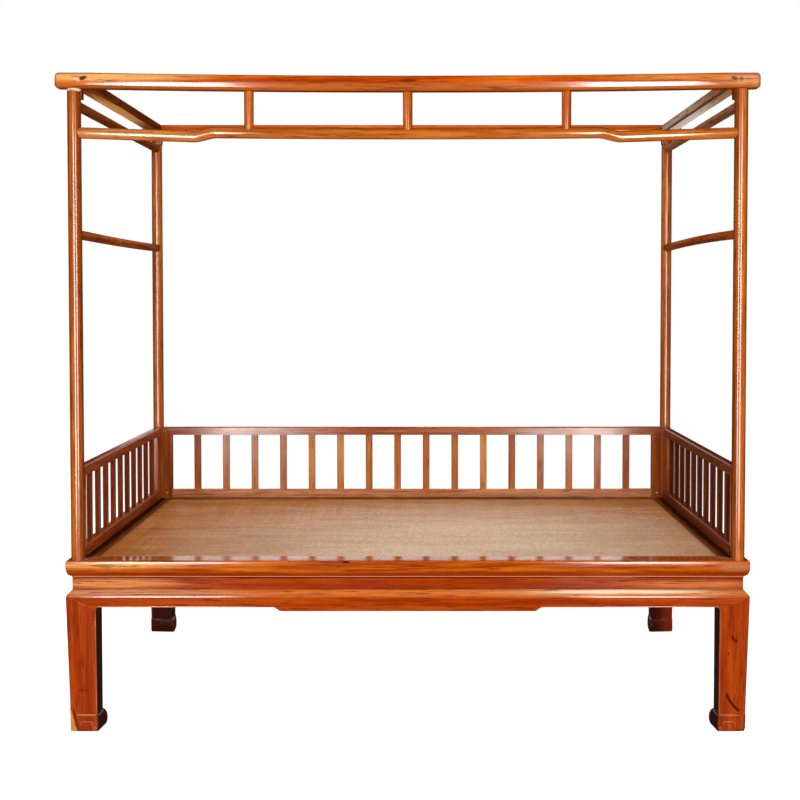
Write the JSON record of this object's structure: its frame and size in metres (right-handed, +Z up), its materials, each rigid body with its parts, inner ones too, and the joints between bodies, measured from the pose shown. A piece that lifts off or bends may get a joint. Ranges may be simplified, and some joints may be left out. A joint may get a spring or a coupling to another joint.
{
  "type": "canopy bed",
  "caption": "Four-post canopy bed in polished hardwood with hoofed legs, a recessed waist, slatted railings, a hump-back front stretcher and a woven cane mat.",
  "frame": {"origin": "middle of the bed's outline on the floor", "axes": "+X along the bed's length to the right of someone facing the open front, +Y from the open front to the railed back, +Z up"},
  "size_m": [2.104, 1.364, 1.981],
  "materials": {
    "frame_wood": "polished hardwood, worn clear lacquer",
    "waist_wood": "polished hardwood, reddish",
    "leg_wood": "polished hardwood with a worn lower end",
    "post_wood": "polished round hardwood",
    "rail_wood": "polished hardwood, darker",
    "batten_wood": "plain sawn hardwood",
    "cane": "woven cane"
  },
  "bodies": {
    "root": {"apron_back": "leg_wood", "apron_front": "leg_wood", "apron_left": "leg_wood", "apron_right": "leg_wood", "back_railing_bottom_rail": "rail_wood", "back_railing_stile_left": "rail_wood", "back_railing_stile_right": "rail_wood", "back_railing_top_rail": "rail_wood", "cane_mat": "cane", "canopy_hump_stretcher": "post_wood", "canopy_rail_back": "post_wood", "canopy_rail_front": "post_wood", "canopy_rail_left": "post_wood", "canopy_rail_right": "post_wood", "canopy_stretcher_left": "post_wood", "canopy_stretcher_right": "post_wood", "frame_end_left": "frame_wood", "frame_end_right": "frame_wood", "frame_rail_back": "frame_wood", "frame_rail_front": "frame_wood", "left_railing_bottom_rail": "rail_wood", "left_railing_stile_back": "rail_wood", "left_railing_stile_front": "rail_wood", "left_railing_top_rail": "rail_wood", "leg_back_left": "leg_wood", "leg_back_right": "leg_wood", "leg_front_left": "leg_wood", "leg_front_right": "leg_wood", "mat_batten_1": "batten_wood", "mat_batten_2": "batten_wood", "mat_batten_3": "batten_wood", "post_back_left": "post_wood", "post_back_right": "post_wood", "post_front_left": "post_wood", "post_front_right": "post_wood", "right_railing_bottom_rail": "rail_wood", "right_railing_stile_back": "rail_wood", "right_railing_stile_front": "rail_wood", "right_railing_top_rail": "rail_wood", "side_bar_left": "post_wood", "side_bar_right": "post_wood", "strut_left": "post_wood", "strut_middle": "post_wood", "strut_right": "post_wood", "waist_back": "waist_wood", "waist_front": "waist_wood", "waist_left": "waist_wood", "waist_right": "waist_wood"}
  },
  "joints": []
}
